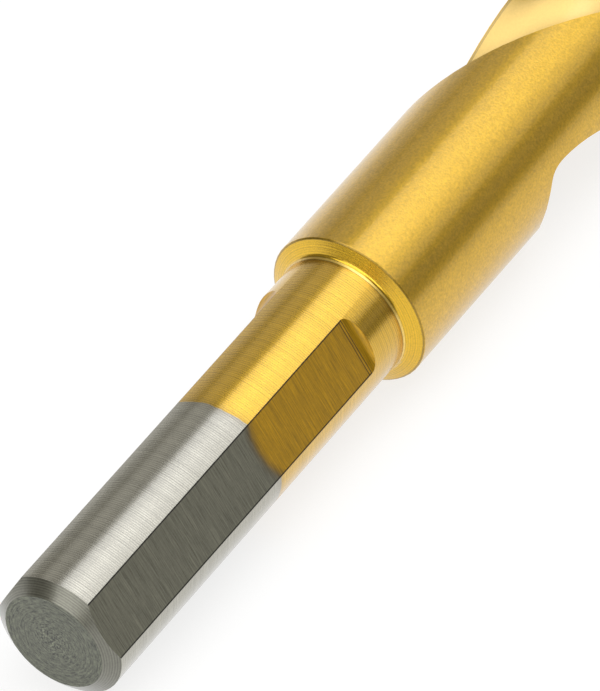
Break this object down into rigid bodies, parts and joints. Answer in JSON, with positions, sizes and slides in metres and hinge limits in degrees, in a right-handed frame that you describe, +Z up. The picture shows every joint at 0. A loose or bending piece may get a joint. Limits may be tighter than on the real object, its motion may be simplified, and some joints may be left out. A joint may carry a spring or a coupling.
{
  "type": "reduced-shank twist drill bit",
  "caption": "Right-hand two-flute twist drill bit in gold-coated steel, its body wider than the round shank, which has three flats and a bare end.",
  "frame": {"origin": "on the ground, below the middle of the drill's length, as it lies on its side", "axes": "+X along the drill's axis from the shank end to the point, +Z up; the axis is 7.9375 mm above the ground"},
  "size_m": [0.1524, 0.0158, 0.0159],
  "materials": {
    "coated_steel": "gold-coloured hard coating on satin ground steel; the first 26 mm of the shank is bare grey steel"
  },
  "bodies": {
    "root": {"drill_bit": "coated_steel"}
  },
  "joints": []
}
